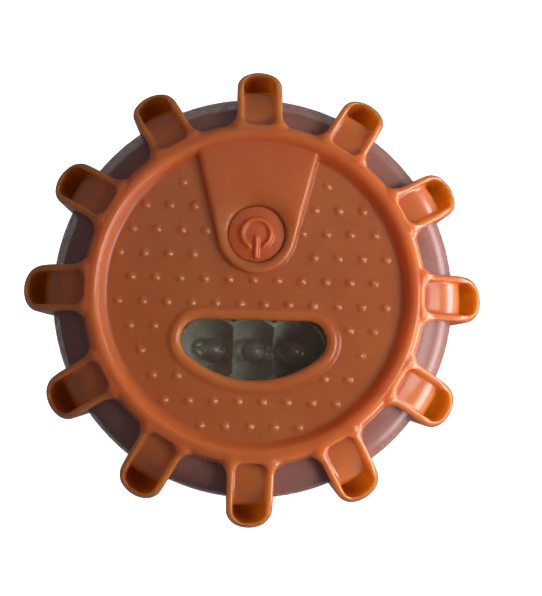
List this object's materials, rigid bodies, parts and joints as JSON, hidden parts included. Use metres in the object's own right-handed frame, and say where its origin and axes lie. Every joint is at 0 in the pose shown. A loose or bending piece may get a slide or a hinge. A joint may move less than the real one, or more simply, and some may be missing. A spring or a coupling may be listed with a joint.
{
  "type": "led safety flare",
  "caption": "Round LED road flare: smoky clear puck in an orange rubber jacket with lugs, push button, front spotlight window, magnet and folding wire hook on the back.",
  "frame": {"origin": "centre of the back, on the plane the flare rests on", "axes": "+Z out of the front face, +Y from the front window towards the power button, +X to the right seen from the front"},
  "size_m": [0.1056, 0.1056, 0.0335],
  "materials": {
    "orange_rubber": "soft satin moulded rubber, slightly translucent",
    "smoky_clear": "smoky clear polycarbonate, polished",
    "dark_shell": "fine textured ABS",
    "cover_plastic": "fine textured ABS",
    "seal_rubber": "smooth nitrile",
    "screw_steel": "zinc plated",
    "insert_brass": "turned",
    "board_laminate": "solder mask",
    "reflector_chrome": "vacuum metallised plastic",
    "tinned_wire": "tinned",
    "black_plastic": "moulded",
    "white_plastic": "moulded",
    "capacitor_sleeve": "shrink sleeve",
    "resistor_ceramic": "ceramic",
    "contact_nickel": "nickel plated",
    "cup_steel": "pressed and plated",
    "magnet_nickel": "nickel plated",
    "hook_wire": "stainless wire",
    "cell_wrap": "printed film over steel",
    "white_led_lens": "clear epoxy",
    "red_led_lens": "tinted epoxy"
  },
  "bodies": {
    "housing": {"base_housing": "dark_shell", "battery_1": "cell_wrap", "battery_2": "cell_wrap", "battery_3": "cell_wrap", "capacitor": "capacitor_sleeve", "clear_housing": "smoky_clear", "contact_plates": "contact_nickel", "contact_springs": "contact_nickel", "controller_chip": "black_plastic", "housing_screws": "screw_steel", "housing_seal": "seal_rubber", "main_board": "board_laminate", "resistors": "resistor_ceramic", "rubber_jacket": "orange_rubber", "screw_inserts": "insert_brass", "side_led_01": "red_led_lens", "side_led_02": "red_led_lens", "side_led_03": "red_led_lens", "side_led_04": "red_led_lens", "side_led_05": "red_led_lens", "side_led_06": "red_led_lens", "side_led_07": "red_led_lens", "side_led_08": "red_led_lens", "side_led_09": "red_led_lens", "side_led_10": "red_led_lens", "side_led_11": "red_led_lens", "side_led_12": "red_led_lens", "side_led_leads": "tinned_wire", "spot_led_1": "white_led_lens", "spot_led_2": "white_led_lens", "spot_led_3": "white_led_lens", "spot_led_leads": "tinned_wire", "spot_reflector": "reflector_chrome", "switch_body": "black_plastic"},
    "button": {"power_button": "orange_rubber"},
    "plunger": {"switch_plunger": "white_plastic"},
    "cover": {"battery_cover": "cover_plastic", "cover_seal": "seal_rubber", "cover_screws": "screw_steel", "magnet_cup": "cup_steel", "magnet": "magnet_nickel"},
    "hook": {"hook": "hook_wire"}
  },
  "joints": [
    {"name": "button_press", "type": "slide", "parent": "housing", "child": "button", "axis": [0, 0, -1], "range_m": [0, 0.0008], "stiffness_N_per_m": 2500},
    {"name": "switch_press", "type": "slide", "parent": "housing", "child": "plunger", "axis": [0, 0, -1], "range_m": [0, 0.00025], "stiffness_N_per_m": 500},
    {"name": "hook_fold", "type": "hinge", "parent": "housing", "child": "hook", "pos_m": [0, 0.016, 0.0024], "axis": [1, 0, 0], "range_deg": [0, 100]},
    {"name": "cover_lift", "type": "slide", "parent": "housing", "child": "cover", "axis": [0, 0, -1], "range_m": [0, 0.025]}
  ],
  "couplings": [
    {"joint": "switch_press", "follows": "button_press", "ratio": 0.3125}
  ]
}
